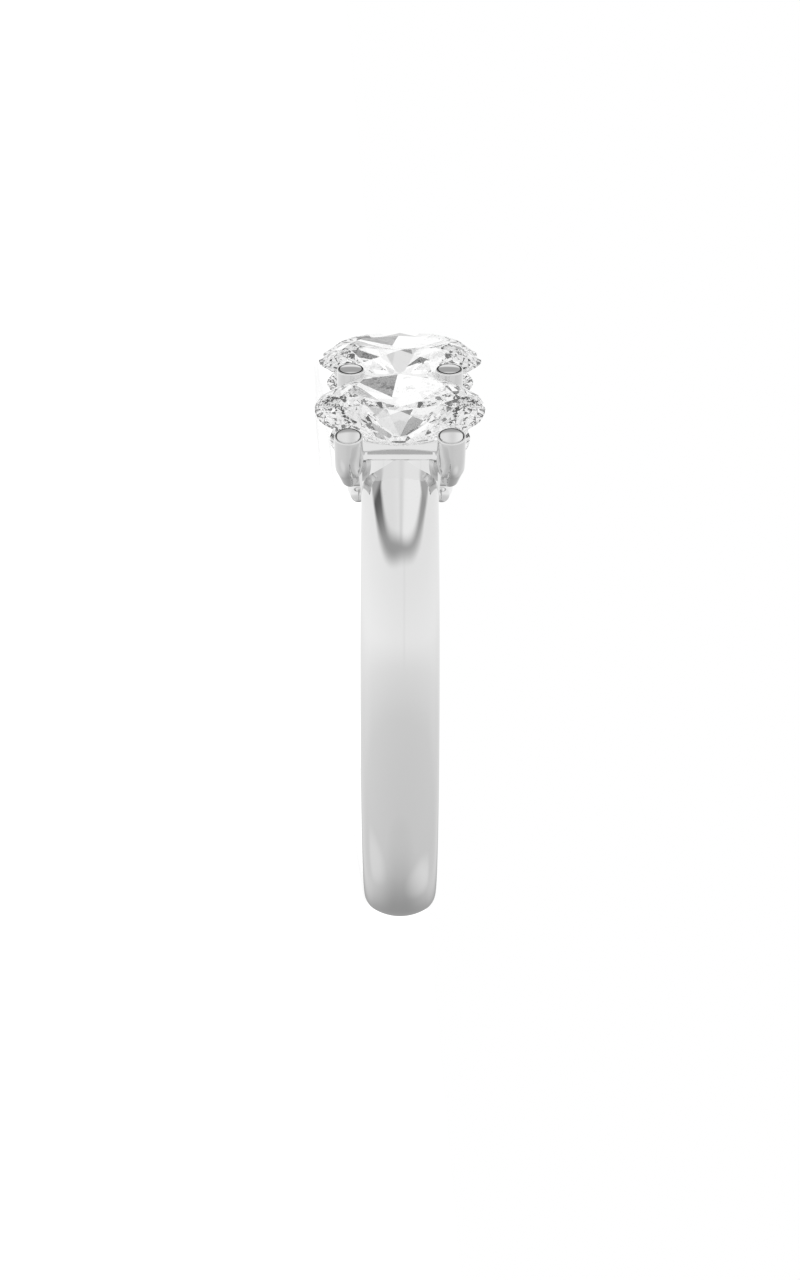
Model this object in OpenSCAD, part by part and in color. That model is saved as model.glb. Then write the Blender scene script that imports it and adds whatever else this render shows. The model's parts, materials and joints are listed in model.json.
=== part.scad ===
/* [Finger hole and band] */
// Radius of the finger hole
finger_r = 8.65; // [8:0.05:8.8]
// Thickness of the band from the finger hole to the top of its dome
band_t = 1.85; // [1.7:0.05:2]
// Width of the band along the finger
band_w = 2.72; // [2.5:0.02:3]
// Height of the dome above the widest line of the band
dome_h = 0.95; // [0.9:0.01:1]
// Radius of the rounded shoulder at each side of the dome
shoulder_r = 0.8; // [0.75:0.01:0.82]
// Radius that softens the two edges of the finger hole
inner_edge_r = 0.22; // [0.1:0.01:0.3]

/* [Oval stones] */
// Length of a stone, along the finger
stone_l = 6; // [5.6:0.05:6.4]
// Width of a stone, around the ring
stone_w = 3.9; // [3.7:0.05:3.95]
// Height of the crown, from the girdle to the table
crown_h = 0.65; // [0.5:0.01:0.8]
// Thickness of the girdle
girdle_t = 0.1; // [0.08:0.01:0.2]
// Depth of the pavilion, from the girdle to the culet
pavilion_d = 1.69; // [1.4:0.01:1.8]
// Length of the table as a share of the stone's length
table_length_share = 0.61; // [0.54:0.01:0.64]
// Width of the table as a share of the stone's width
table_width_share = 0.57; // [0.5:0.01:0.62]
// How far the star facets reach from the table to the girdle
star_share = 0.38; // [0.3:0.01:0.6]
// How far the lower girdle facets reach from the girdle to the culet
lower_half_share = 0.75; // [0.6:0.01:0.85]

/* [Row of stones] */
// Radius of the arc on which the girdles lie
girdle_arc_r = 11.35; // [11.3:0.01:11.6]
// Angle around the ring from one stone to the next
stone_step = 20.4; // [20.2:0.1:21]

/* [Prongs] */
// Radius of a prong
prong_r = 0.5; // [0.45:0.01:0.52]
// Distance of a prong's centre from the middle of the ring, along the finger
prong_x = 1.77; // [1.7:0.01:1.85]
// Height of a shared prong's tip above the girdle arc
prong_rise = 0.47; // [0.3:0.01:0.5]
// Height of an end prong's tip above the end stone's girdle
end_prong_rise = 0.39; // [0.25:0.01:0.45]
// Distance of an end prong's tip from the end stone's middle, around the ring
end_prong_reach = 2.08; // [2.04:0.01:2.15]
// Length of an end prong's upper run, which stands square to the end stone
end_cap_h = 1.1; // [0.9:0.01:1.2]
// Radius around the finger's axis at which the shared prongs' feet turn into the band
foot_arc_r = 9.3; // [9.22:0.01:9.4]
// Radius around the finger's axis at which the end prongs' feet turn into the band
end_foot_arc_r = 9.2; // [9.18:0.01:9.3]
// Angle around the ring at which an end prong's foot enters the band
end_foot_angle = 47.5; // [46:0.5:48.5]
// Radius of an end prong at its foot
end_foot_r = 0.34; // [0.3:0.01:0.4]
// Radius of the rounded edge around a prong's tip
tip_edge_r = 0.1; // [0.06:0.01:0.14]

/* [Head block and end rails] */
// Distance of the rails' and ledges' flat fronts from the middle of the ring
block_end_y = 8.04; // [7.98:0.01:8.08]
// Distance of the head block's flat end faces from the middle of the ring
block_core_y = 7.86; // [7.8:0.01:7.9]
// Half length of the ledge at each end of the head block
ledge_half_l = 1.14; // [1.1:0.01:1.17]
// Height of the head block above the dome of the band
block_rise = 0.11; // [0.08:0.01:0.13]
// Half width of the head block at its top
block_top_half_w = 1.17; // [1.1:0.01:1.2]
// Half width of the head block at its widest line
block_side_half_w = 1.46; // [1.4:0.01:1.5]
// Depth of that widest line below the top
block_flare_h = 0.45; // [0.35:0.01:0.55]
// Radius of the two upright bulges at each end of the head block
wing_r = 0.94; // [0.9:0.01:1]
// Distance of a bulge's axis from the middle of the ring, along the finger
wing_x = 0.655; // [0.6:0.005:0.7]
// Distance of a bulge's axis from the middle of the ring, across the finger
wing_y = 7.2; // [7.15:0.01:7.22]
// Height of the bulges' flat tops above the finger's axis
wing_top_z = 6.77; // [6.74:0.01:6.8]
// Height of an end rail's straight underside above the finger's axis
rail_z = 7.03; // [7:0.01:7.06]
// Thickness of an end rail
rail_t = 0.45; // [0.4:0.01:0.5]
// Half length of an end rail
rail_half_l = 1.5; // [1.45:0.01:1.55]
// Rise of the shallow arch under an end rail
rail_arch_h = 0.07; // [0.04:0.01:0.09]

/* [Fit] */
// How much larger than a stone its seat is cut
seat_scale = 1.025; // [1.015:0.005:1.035]

/* [Hidden] */
$fn = 96;

stone_count = 5;
middle_stone = (stone_count + 1) / 2;
end_stone_angle = stone_step * (stone_count - 1) / 2;

band_r = finger_r + band_t;
half_w = band_w / 2;
// Centre of a shoulder arc, beside the middle of the band and above the finger's axis
shoulder_x = half_w - shoulder_r;
shoulder_y = band_r - dome_h;
// Radius of the arc over the middle of the band, tangent to both shoulder arcs
crown_arc_r = (shoulder_x * shoulder_x + dome_h * dome_h - shoulder_r * shoulder_r)
    / (2 * (dome_h - shoulder_r));
// Angle from the top of the dome to the line where a shoulder arc begins
shoulder_angle = atan2(shoulder_x, crown_arc_r - dome_h);

block_top_r = band_r + block_rise;
block_flare_r = block_top_r - block_flare_h;
// The feet's short runs are a little thinner than the prongs that they carry
foot_run_share = 0.94;
foot_run_end_x = half_w - 0.5;
end_cap_r = prong_r * 1.01;
rail_arch_half_l = rail_half_l * 0.75;
rail_arch_r = (rail_arch_half_l * rail_arch_half_l + rail_arch_h * rail_arch_h)
    / (2 * rail_arch_h);

// Facets of a stone: an eightfold brilliant, drawn out to an oval
fold = 8;
fold_angle = 360 / fold;
half_angle = fold_angle / 2;
oval_ratio = stone_l / stone_w;
girdle_half_w = stone_w / 2;
lower_half_r = girdle_half_w * (1 - lower_half_share);
table_z = girdle_t / 2 + crown_h;
star_z = table_z - crown_h * star_share;
culet_z = -girdle_t / 2 - pavilion_d;

// The ring lies on its side. It touches the floor with the ends of the first and
// last stones and with the shoulder of the band opposite to them, so the floor is
// the tangent from the stones' ends to that shoulder arc.
rest_x = stone_l / 2;
rest_z = (girdle_arc_r - girdle_t / 2) * cos(end_stone_angle);
rest_dx = rest_x - shoulder_x;
rest_dz = rest_z + shoulder_y;
rest_reach = sqrt(rest_dx * rest_dx + rest_dz * rest_dz);
rest_lean = atan2(rest_dx, rest_dz) - asin(shoulder_r / rest_reach);
rest_lift = rest_x * cos(rest_lean) - rest_z * sin(rest_lean);
// Reach of the lying ring to each side of the finger's axis, along the floor
head_reach = (girdle_arc_r + table_z) * cos(rest_lean)
    + table_length_share * stone_l / 2 * sin(rest_lean);
foot_reach = (band_r - crown_arc_r) * cos(rest_lean) + crown_arc_r;
rest_shift = (head_reach - foot_reach) / 2;

// A point of a stone, given on the round brilliant before it is drawn out
function oval_point(r, angle, z) = [r * cos(angle) * oval_ratio, r * sin(angle), z];

// A corner of the table
function table_point(angle) = [table_length_share * stone_l / 2 * cos(angle),
    table_width_share * stone_w / 2 * sin(angle), table_z];

// Outward arrow of a main crown facet, which touches the girdle's outline at one point
// and the table at one corner
function crown_arrow(angle) = cross([-oval_ratio * sin(angle), cos(angle), 0],
    table_point(angle) - oval_point(girdle_half_w, angle, girdle_t / 2));

// Distance of a main crown facet's plane along its arrow, taken at the stars' height
function crown_reach(angle) = crown_arrow(angle) * table_point(angle)
    - crown_arrow(angle)[2] * star_z;

// Where two neighbouring main crown facets and a star facet meet
function star_point(angle) =
    let (a = crown_arrow(angle - half_angle), b = crown_arrow(angle + half_angle),
        c = crown_reach(angle - half_angle), d = crown_reach(angle + half_angle),
        scale = a[0] * b[1] - a[1] * b[0])
    [(c * b[1] - a[1] * d) / scale, (a[0] * d - c * b[0]) / scale, star_z];

// Height of the main pavilion facets' planes, at a distance from the stone's axis
function pavilion_z(r) = culet_z + pavilion_d * r / girdle_half_w;

// Points of one level of a stone, level by level from the table to the culet
table_points = [for (i = [0 : fold - 1])
    table_point(i * fold_angle)];
star_points = [for (i = [0 : fold - 1]) star_point((i + 0.5) * fold_angle)];
girdle_top_points = [for (i = [0 : 2 * fold - 1])
    oval_point(girdle_half_w, i * half_angle, girdle_t / 2)];
girdle_low_points = [for (i = [0 : 2 * fold - 1])
    oval_point(girdle_half_w, i * half_angle, -girdle_t / 2)];
lower_half_points = [for (i = [0 : fold - 1])
    oval_point(lower_half_r, (i + 0.5) * fold_angle,
        pavilion_z(lower_half_r * cos(half_angle)))];
stone_points = concat(table_points, star_points, girdle_top_points,
    girdle_low_points, lower_half_points, [[0, 0, culet_z]]);

// Index of a point in stone_points, wrapped around its level
function table_i(i) = (i + fold) % fold;
function star_i(i) = fold + (i + fold) % fold;
function top_i(i) = 2 * fold + (i + 2 * fold) % (2 * fold);
function low_i(i) = 4 * fold + (i + 2 * fold) % (2 * fold);
function lower_half_i(i) = 6 * fold + (i + fold) % fold;
culet_i = 7 * fold;

stone_faces = concat(
    [[for (i = [fold - 1 : -1 : 0]) table_i(i)]],
    [for (i = [0 : fold - 1]) [table_i(i), table_i(i + 1), star_i(i)]],
    [for (i = [0 : fold - 1]) [table_i(i), star_i(i), top_i(2 * i), star_i(i - 1)]],
    [for (i = [0 : fold - 1]) [star_i(i), top_i(2 * i + 1), top_i(2 * i)]],
    [for (i = [0 : fold - 1]) [star_i(i), top_i(2 * i + 2), top_i(2 * i + 1)]],
    [for (i = [0 : 2 * fold - 1]) [top_i(i), top_i(i + 1), low_i(i + 1), low_i(i)]],
    [for (i = [0 : fold - 1]) [lower_half_i(i), low_i(2 * i), low_i(2 * i + 1)]],
    [for (i = [0 : fold - 1]) [lower_half_i(i), low_i(2 * i + 1), low_i(2 * i + 2)]],
    [for (i = [0 : fold - 1])
        [culet_i, lower_half_i(i - 1), low_i(2 * i), lower_half_i(i)]]);

// Lays the upright ring on its side, with the head towards -Y
module lay_down() {
    translate([0, rest_shift, rest_lift])
        rotate([0, 0, 90])
            rotate([0, rest_lean - 90, 0])
                children();
}

// Turns a shape around the finger's axis, from the top of the head towards -Y
module around(angle) {
    rotate([angle, 0, 0]) children();
}

module on_both_sides() {
    children();
    mirror([1, 0, 0]) children();
}

module at_both_ends() {
    children();
    mirror([0, 1, 0]) children();
}

// A slice of a disc between two angles
module fan(r, from, to) {
    middle = (from + to) / 2;
    intersection() {
        circle(r);
        polygon([[0, 0],
            2 * r * [cos(from), sin(from)],
            3 * r * [cos(middle), sin(middle)],
            2 * r * [cos(to), sin(to)]]);
    }
}

module oval_brilliant() {
    polyhedron(points = stone_points, faces = stone_faces);
}

module stone_in_row(index, size = 1) {
    around((middle_stone - index) * stone_step)
        translate([0, 0, girdle_arc_r])
            scale(size)
                oval_brilliant();
}

// Section of the band: radius to the right, width up and down
module band_section() {
    core_r = finger_r + inner_edge_r;
    core_half_w = half_w - inner_edge_r;
    tip = 2 * crown_arc_r * [cos(shoulder_angle), sin(shoulder_angle)];
    polygon([[finger_r, -core_half_w], [core_r, -core_half_w], [core_r, -half_w],
        [shoulder_y, -half_w], [shoulder_y, half_w], [core_r, half_w],
        [core_r, core_half_w], [finger_r, core_half_w]]);
    for (side = [-1, 1]) {
        translate([core_r, side * core_half_w])
            fan(inner_edge_r, side * 90, side * 180);
        translate([shoulder_y, side * shoulder_x])
            fan(shoulder_r, side * shoulder_angle, side * 90);
    }
    intersection() {
        translate([band_r - crown_arc_r, 0]) circle(crown_arc_r);
        polygon([[shoulder_y, -shoulder_x], [shoulder_y + tip[0], -shoulder_x - tip[1]],
            [shoulder_y + tip[0], shoulder_x + tip[1]], [shoulder_y, shoulder_x]]);
    }
}

module band() {
    rotate([0, 90, 0])
        rotate_extrude()
            band_section();
}

// Block under the stones: flared sides that follow the ring, and flat end faces. In
// front of each end face are two low bulges, which meet the dome in a pointed arch, and
// a straight ledge on top of them
module head_block() {
    intersection() {
        rotate([0, 90, 0])
            rotate_extrude()
                polygon([[shoulder_y, -half_w], [block_flare_r, -block_side_half_w],
                    [block_top_r, -block_top_half_w], [block_top_r, block_top_half_w],
                    [block_flare_r, block_side_half_w], [shoulder_y, half_w]]);
        union() {
            translate([-stone_l / 2, -block_core_y, 0])
                cube([stone_l, 2 * block_core_y, girdle_arc_r]);
            translate([-ledge_half_l, -block_end_y, wing_top_z])
                cube([2 * ledge_half_l, 2 * block_end_y, girdle_arc_r - wing_top_z]);
            on_both_sides()
                at_both_ends()
                    translate([wing_x, wing_y, 0]) cylinder(r = wing_r, h = wing_top_z);
        }
    }
}

// A round wire along Z with a half round foot at zero and a softened flat tip
module wire(length, radius) {
    rotate_extrude() {
        square([radius - tip_edge_r, length]);
        square([radius, length - tip_edge_r]);
        translate([radius - tip_edge_r, length - tip_edge_r])
            fan(tip_edge_r, 0, 90);
        fan(radius, -90, 0);
    }
}

// Short run that carries a prong's foot into the side of the band
module foot_run(radius) {
    rotate([0, -90, 0])
        cylinder(r = foot_run_share * radius, h = prong_x - foot_run_end_x);
}

module shared_prong() {
    translate([prong_x, 0, foot_arc_r]) {
        wire(girdle_arc_r + prong_rise - foot_arc_r, prong_r);
        foot_run(prong_r);
    }
}

// The end prong grows thicker from its foot out under the stone, and its upper run
// stands square to the end stone
module end_prong() {
    foot = [end_foot_arc_r * sin(end_foot_angle), end_foot_arc_r * cos(end_foot_angle)];
    cap_foot_r = girdle_arc_r + end_prong_rise - end_cap_h;
    top = [cap_foot_r * sin(end_stone_angle) + end_prong_reach * cos(end_stone_angle),
        cap_foot_r * cos(end_stone_angle) - end_prong_reach * sin(end_stone_angle)];
    length = norm(top - foot);
    lean = atan2(top[0] - foot[0], top[1] - foot[1]);
    translate([prong_x, -foot[0], foot[1]]) {
        sphere(end_foot_r);
        around(lean) cylinder(r1 = end_foot_r, r2 = prong_r, h = length);
        around(end_foot_angle) foot_run(end_foot_r);
    }
    translate([prong_x, -top[0], top[1]])
        around(end_stone_angle)
            wire(end_cap_h, end_cap_r);
}

// Straight rail above the end of the head block, from one end prong to the other
module end_rail() {
    difference() {
        translate([-rail_half_l, -block_end_y, rail_z])
            cube([2 * rail_half_l, rail_t, girdle_arc_r - rail_z - stone_w]);
        translate([0, -block_end_y, rail_z + rail_arch_h - rail_arch_r])
            rotate([90, 0, 0])
                cylinder(r = rail_arch_r, h = 3 * rail_t, center = true);
    }
}

// Band, head block, prongs and rails, soldered into one piece
module ring_mount() {
    color("gainsboro")
        lay_down()
            difference() {
                union() {
                    band();
                    head_block();
                    on_both_sides() {
                        for (gap = [1 : stone_count - 1])
                            around((middle_stone - gap - 0.5) * stone_step)
                                shared_prong();
                        at_both_ends() end_prong();
                    }
                    at_both_ends() end_rail();
                }
                for (index = [1 : stone_count])
                    stone_in_row(index, seat_scale);
            }
}

module stone(index) {
    color("lightcyan")
        lay_down()
            stone_in_row(index);
}

ring_mount();
stone(1);  // stone_1
stone(2);  // stone_2
stone(3);  // stone_3
stone(4);  // stone_4
stone(5);  // stone_5
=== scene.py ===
# %% [markdown]
# # A five-stone ring
#
# This lesson builds the looks of a finger ring: a domed white gold band that carries
# a row of five oval stones in round prongs. The ring lies on its side, as a ring does
# when it is put down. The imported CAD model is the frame, and every piece below stands
# exactly where the CAD has it.

# %% Load the frame
import json
import math

import bmesh
import bpy
from mathutils import Matrix, Vector
from mathutils.geometry import intersect_plane_plane

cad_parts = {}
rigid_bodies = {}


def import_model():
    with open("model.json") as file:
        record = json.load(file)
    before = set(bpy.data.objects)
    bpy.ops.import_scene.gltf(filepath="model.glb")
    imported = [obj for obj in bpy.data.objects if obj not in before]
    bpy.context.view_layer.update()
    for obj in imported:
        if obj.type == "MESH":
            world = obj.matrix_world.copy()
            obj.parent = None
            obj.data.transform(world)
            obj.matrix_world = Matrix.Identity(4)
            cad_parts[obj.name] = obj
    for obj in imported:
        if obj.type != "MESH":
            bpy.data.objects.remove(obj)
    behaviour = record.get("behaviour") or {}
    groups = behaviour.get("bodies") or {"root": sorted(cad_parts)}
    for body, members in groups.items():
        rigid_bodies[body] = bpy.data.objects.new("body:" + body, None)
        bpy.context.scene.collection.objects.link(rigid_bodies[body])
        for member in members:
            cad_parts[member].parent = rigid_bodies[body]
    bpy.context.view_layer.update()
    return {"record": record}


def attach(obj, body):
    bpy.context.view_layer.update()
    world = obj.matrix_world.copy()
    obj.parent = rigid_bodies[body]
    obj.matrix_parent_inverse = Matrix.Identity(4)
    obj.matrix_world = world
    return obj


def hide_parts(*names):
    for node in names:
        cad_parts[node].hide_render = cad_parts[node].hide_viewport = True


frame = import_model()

scene = bpy.context.scene

# %% [markdown]
# A jeweller draws a ring upright, with the finger's axis level and the stones on top.
# So the pieces are drawn in that space too, in millimetres, and one matrix then lays
# the finished meshes down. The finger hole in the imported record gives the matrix: its
# centre, and its axis, which leans a little because the stones are wider than the band.

# %% The ring's own space: X along the finger, Z up through the stones
hole = frame["record"]["mounts"][0]
finger_axis = Vector(hole["axis"]).normalized()
row_axis = Vector((-1, 0, 0))
head_axis = finger_axis.cross(row_axis)
turn = Matrix((finger_axis, row_axis, head_axis)).transposed()
MM = 0.001
ring_space = Matrix.Translation(hole["pos_m"]) @ turn.to_4x4() @ Matrix.Scale(MM, 4)
print("The finger's axis leans", round(math.degrees(finger_axis.angle((0, 0, 1))), 2), "degrees")

# %% [markdown]
# The camera comes first, because every look at the ring goes through it. The photo
# was taken from just above the middle of the hole, facing the first stone, with a
# portrait lens. The ring was upright then. It lies on its side now, so the camera
# turns with it, and the picture shows the ring as before.

# %% Camera
CAMERA_PLACE = (0, -76.55, 2.5)
CAMERA_PITCH = math.radians(1.71)
camera_data = bpy.data.cameras.new("camera")
camera_data.lens = 55
camera_data.sensor_width = 36
camera_data.clip_start = 0.001
camera_data.clip_end = 20
camera = bpy.data.objects.new("camera", camera_data)
scene.collection.objects.link(camera)
aim = Matrix.Rotation(math.pi / 2 - CAMERA_PITCH, 4, "X")
camera.matrix_world = (
    Matrix.Translation(ring_space @ Vector(CAMERA_PLACE)) @ turn.to_4x4() @ aim
)
scene.camera = camera
print("The camera is", round(1000 * camera.location.z, 2), "mm above the floor")

# %% [markdown]
# Round parts are turned like work on a lathe: a profile goes around an axis. A profile
# is a list of runs, and a run is smooth from end to end. Each of its points also holds
# the direction that faces away from the metal there, since an arc and a straight line
# both know theirs exactly.

# %% Arcs and straight runs
def arc(centre, radius, start, stop, steps):
    """Points on an arc, each as (distance, height, direction out, direction up)."""
    points = []
    for i in range(steps + 1):
        angle = math.radians(start + (stop - start) * i / steps)
        out, up = math.cos(angle), math.sin(angle)
        points.append((centre[0] + radius * out, centre[1] + radius * up, out, up))
    return points


def straight(start, stop):
    """Two points of a straight run, with the direction to its right."""
    along = (Vector(stop) - Vector(start)).normalized()
    return [(*start, along.y, -along.x), (*stop, along.y, -along.x)]


# %% [markdown]
# Polished metal shows every flaw in its shading, because it mirrors. So each part
# brings its exact outward directions with it, one for each corner of each face. They
# are stored in an attribute called polish, which lives through the soldering of the
# parts, and they become the mesh's normals at the end. A second attribute marks the
# fine grooves around the prong tips, whose colour gets painted shade.

# %% A part that knows its directions
parts = bpy.data.collections.new("parts")
scene.collection.children.link(parts)


def make_part(name, points, faces, directions, place=Matrix(), shade_painted=()):
    """An object in the ring's own space, its faces turned to agree with its directions."""
    points = [Vector(p) for p in points]
    kept_faces, kept_directions, dark = [], [], []
    for number, (face, arrows) in enumerate(zip(faces, directions)):
        across = Vector((0, 0, 0))
        for i in range(len(face)):
            across += points[face[i - 1]].cross(points[face[i]])
        if across.dot(sum(arrows, Vector())) < 0:
            face, arrows = face[::-1], arrows[::-1]
        if place.determinant() < 0:
            face, arrows = face[::-1], arrows[::-1]
        kept_faces.append(face)
        kept_directions.extend(arrows)
        dark.extend([float(number in shade_painted)] * len(face))
    mesh = bpy.data.meshes.new(name)
    mesh.from_pydata([place @ p for p in points], [], kept_faces)
    turned = place.to_3x3()
    polish = mesh.attributes.new("polish", "FLOAT_VECTOR", "CORNER")
    flat = [x for d in kept_directions for x in (turned @ d).normalized()]
    polish.data.foreach_set("vector", flat)
    # The second attribute marks faces for painted shade in the grooves.
    mesh.attributes.new("groove_shade", "FLOAT", "CORNER").data.foreach_set("value", dark)
    part = bpy.data.objects.new(name, mesh)
    parts.objects.link(part)
    return part


# %% [markdown]
# The lathe makes one face for each pair of neighbouring points of a run and each step
# of the turn. Neighbouring runs share the points where they meet, so the part is
# closed. Each ring of points can also be carried to its own place on a path, which
# bends a part while it is turned.

# %% Lathe
def upright(height):
    """The straight path of most turned parts."""
    return Matrix.Translation((0, 0, height))


def lathe(name, runs, steps, place=Matrix(), path=upright, dark_runs=()):
    """Turns runs of (distance, height, direction out, direction up) around a path."""
    numbers, points, faces, directions, shade_painted = {}, [], [], [], set()

    def number(distance, height, step):
        key = (round(distance, 6), round(height, 6), step % steps if distance > 1e-6 else 0)
        if key not in numbers:
            angle = 2 * math.pi * key[2] / steps
            numbers[key] = len(points)
            across = Vector((distance * math.cos(angle), distance * math.sin(angle), 0))
            points.append(path(height) @ across)
        return numbers[key]

    for which, run in enumerate(runs):
        for low, high in zip(run, run[1:]):
            for step in range(steps):
                face, arrows = [], []
                for point, where in ((low, step), (low, step + 1), (high, step + 1), (high, step)):
                    corner = number(point[0], point[1], where)
                    if corner in face:
                        continue
                    angle = 2 * math.pi * where / steps
                    face.append(corner)
                    arrow = Vector((point[2] * math.cos(angle), point[2] * math.sin(angle), point[3]))
                    arrows.append(path(point[1]).to_3x3() @ arrow)
                # These runs are marked for painted shade.
                if which in dark_runs:
                    shade_painted.add(len(faces))
                faces.append(face)
                directions.append(arrows)
    return make_part(name, points, faces, directions, place, shade_painted)


# %% [markdown]
# The band is comfortable inside and domed outside: a flat inner wall, small rounded
# edges, straight sides, and a dome made of three arcs that flow into each other. Its
# section is turned around the finger's axis in many fine steps, since its outline is
# the largest curve in the picture.

# %% Band
FINGER_R = 8.65
BAND_T = 1.85
HALF_W = 1.36
DOME_H = 0.95
SHOULDER_R = 0.8
INNER_EDGE_R = 0.22
CROWN_STEPS = 22
SHOULDER_STEPS = 14
INNER_EDGE_STEPS = 6
BAND_STEPS = 320
band_r = FINGER_R + BAND_T
shoulder_x = HALF_W - SHOULDER_R
shoulder_y = band_r - DOME_H
crown_arc_r = (shoulder_x**2 + DOME_H**2 - SHOULDER_R**2) / (2 * (DOME_H - SHOULDER_R))
shoulder_angle = math.degrees(math.atan2(shoulder_x, crown_arc_r - DOME_H))
inner_y = FINGER_R + INNER_EDGE_R
inner_x = HALF_W - INNER_EDGE_R

band_runs = [
    arc((band_r - crown_arc_r, 0), crown_arc_r, -shoulder_angle, shoulder_angle, CROWN_STEPS),
    arc((shoulder_y, shoulder_x), SHOULDER_R, shoulder_angle, 90, SHOULDER_STEPS),
    [(shoulder_y, HALF_W, 0, 1), (inner_y, HALF_W, 0, 1)],
    arc((inner_y, inner_x), INNER_EDGE_R, 90, 180, INNER_EDGE_STEPS),
    [(FINGER_R, inner_x, -1, 0), (FINGER_R, -inner_x, -1, 0)],
    arc((inner_y, -inner_x), INNER_EDGE_R, 180, 270, INNER_EDGE_STEPS),
    [(inner_y, -HALF_W, 0, -1), (shoulder_y, -HALF_W, 0, -1)],
    arc((shoulder_y, -shoulder_x), SHOULDER_R, -90, -shoulder_angle, SHOULDER_STEPS),
]
along_finger = Matrix.Rotation(math.pi / 2, 4, "Y")
band = lathe("band", band_runs, BAND_STEPS, along_finger)
print("The band is", round(2 * band_r, 2), "mm across and has", len(band.data.polygons), "faces")

# %% [markdown]
# A solid block joins the prongs under the stones. Its flared sides follow the ring. So
# it is first turned as a whole ring too, from a section with softened edges: where two
# polished planes meet, a tiny rounding catches a line of light, and a knife edge would
# look false.

# %% Whole ring of the head block
BLOCK_RISE = 0.11
BLOCK_TOP_HALF_W = 1.17
BLOCK_SIDE_HALF_W = 1.46
BLOCK_FLARE_H = 0.45
BLOCK_EDGE_R = 0.05
EDGE_STEPS = 5
block_top_r = band_r + BLOCK_RISE
block_flare_r = block_top_r - BLOCK_FLARE_H


def softened(corners, radius):
    """Runs around a polygon whose marked corners are rounded. A corner is (x, y, rounded)."""
    count = len(corners)
    arrive, leave = [], []
    for i, (x, y, rounded) in enumerate(corners):
        here = Vector((x, y))
        before = Vector(corners[i - 1][:2]) - here
        after = Vector(corners[(i + 1) % count][:2]) - here
        if not rounded:
            arrive.append(here)
            leave.append([here])
            continue
        half = before.angle(after) / 2
        reach = radius / math.tan(half)
        centre = here + (before.normalized() + after.normalized()).normalized() * radius / math.sin(half)
        start, stop = here + before.normalized() * reach, here + after.normalized() * reach
        first, last = start - centre, stop - centre
        turn_by = first.angle_signed(last)
        bend = []
        for step in range(EDGE_STEPS + 1):
            spoke = first.copy()
            spoke.rotate(Matrix.Rotation(-turn_by * step / EDGE_STEPS, 2))
            point = (start, centre + spoke, stop)[(step > 0) + (step == EDGE_STEPS)]
            bend.append((*point, *spoke.normalized()))
        arrive.append(start)
        leave.append([stop, bend])
    runs = []
    for i in range(count):
        runs.append(straight(leave[i - 1][0], arrive[i]))
        if len(leave[i]) > 1:
            runs.append(leave[i][1])
    return runs


block_section = [
    (shoulder_y, HALF_W, False), (shoulder_y, -HALF_W, False),
    (block_flare_r, -BLOCK_SIDE_HALF_W, True), (block_top_r, -BLOCK_TOP_HALF_W, True),
    (block_top_r, BLOCK_TOP_HALF_W, True), (block_flare_r, BLOCK_SIDE_HALF_W, True),
]
head_block = lathe("block", softened(block_section, BLOCK_EDGE_R), BAND_STEPS, along_finger)
print("The block's whole ring has", len(head_block.data.polygons), "faces")

# %% [markdown]
# The block's two ends are cut flat, with a narrow ledge and two low bulges in front of
# each end. From the front the dome of the band meets the bulges in a pointed arch. So
# a Boolean modifier keeps only the part of the whole ring that lies inside a box with
# two ledges and four upright round posts. The box and the posts end well outside the
# ring where they don't shape it.

# %% Cut the head block's ends
BLOCK_END_Y = 8.04
BLOCK_CORE_Y = 7.86
LEDGE_HALF_L = 1.14
WING_R = 0.94
WING_X = 0.655
WING_Y = 7.2
WING_TOP_Z = 6.77
KEEP_HALF_W = 3
KEEP_TOP_Z = 11.35
LEDGE_TOP_Z = 11
POST_FOOT_Z = -1
POST_STEPS = 128


def add_box(name, half_x, half_y, low, high):
    points = [(x, y, z) for x in (-half_x, half_x) for y in (-half_y, half_y) for z in (low, high)]
    sides = [((0, 1, 3, 2), (-1, 0, 0)), ((4, 5, 7, 6), (1, 0, 0)), ((0, 1, 5, 4), (0, -1, 0)),
             ((2, 3, 7, 6), (0, 1, 0)), ((0, 2, 6, 4), (0, 0, -1)), ((1, 3, 7, 5), (0, 0, 1))]
    return make_part(name, points, [list(face) for face, _ in sides],
                     [[Vector(out)] * 4 for _, out in sides])


def combine(target, operation, tools):
    """Leaves the target with the result of a Boolean operation, and removes the tools."""
    for tool in tools:
        step = target.modifiers.new(tool.name, "BOOLEAN")
        step.operation = operation
        step.solver = "MANIFOLD"
        step.object = tool
    result = bpy.data.meshes.new_from_object(
        target.evaluated_get(bpy.context.evaluated_depsgraph_get()))
    target.modifiers.clear()
    target.data = result
    for tool in tools:
        bpy.data.objects.remove(tool)


keep = add_box("keep", KEEP_HALF_W, BLOCK_CORE_Y, 0, KEEP_TOP_Z)
posts = [add_box("ledges", LEDGE_HALF_L, BLOCK_END_Y, WING_TOP_Z, LEDGE_TOP_Z)]
post_edge = (WING_R - BLOCK_EDGE_R, WING_TOP_Z - BLOCK_EDGE_R)
post_runs = [
    [(0, POST_FOOT_Z, 0, -1), (WING_R, POST_FOOT_Z, 0, -1)],
    [(WING_R, POST_FOOT_Z, 1, 0), (WING_R, post_edge[1], 1, 0)],
    arc(post_edge, BLOCK_EDGE_R, 0, 90, EDGE_STEPS),
    [(post_edge[0], WING_TOP_Z, 0, 1), (0, WING_TOP_Z, 0, 1)],
]
for x in (-WING_X, WING_X):
    for y in (-WING_Y, WING_Y):
        place = Matrix.Translation((x, y, 0))
        posts.append(lathe(f"post_{len(posts)}", post_runs, POST_STEPS, place))
combine(keep, "UNION", posts)
combine(head_block, "INTERSECT", [keep])
print("The head block has", len(head_block.data.polygons), "faces")
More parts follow.
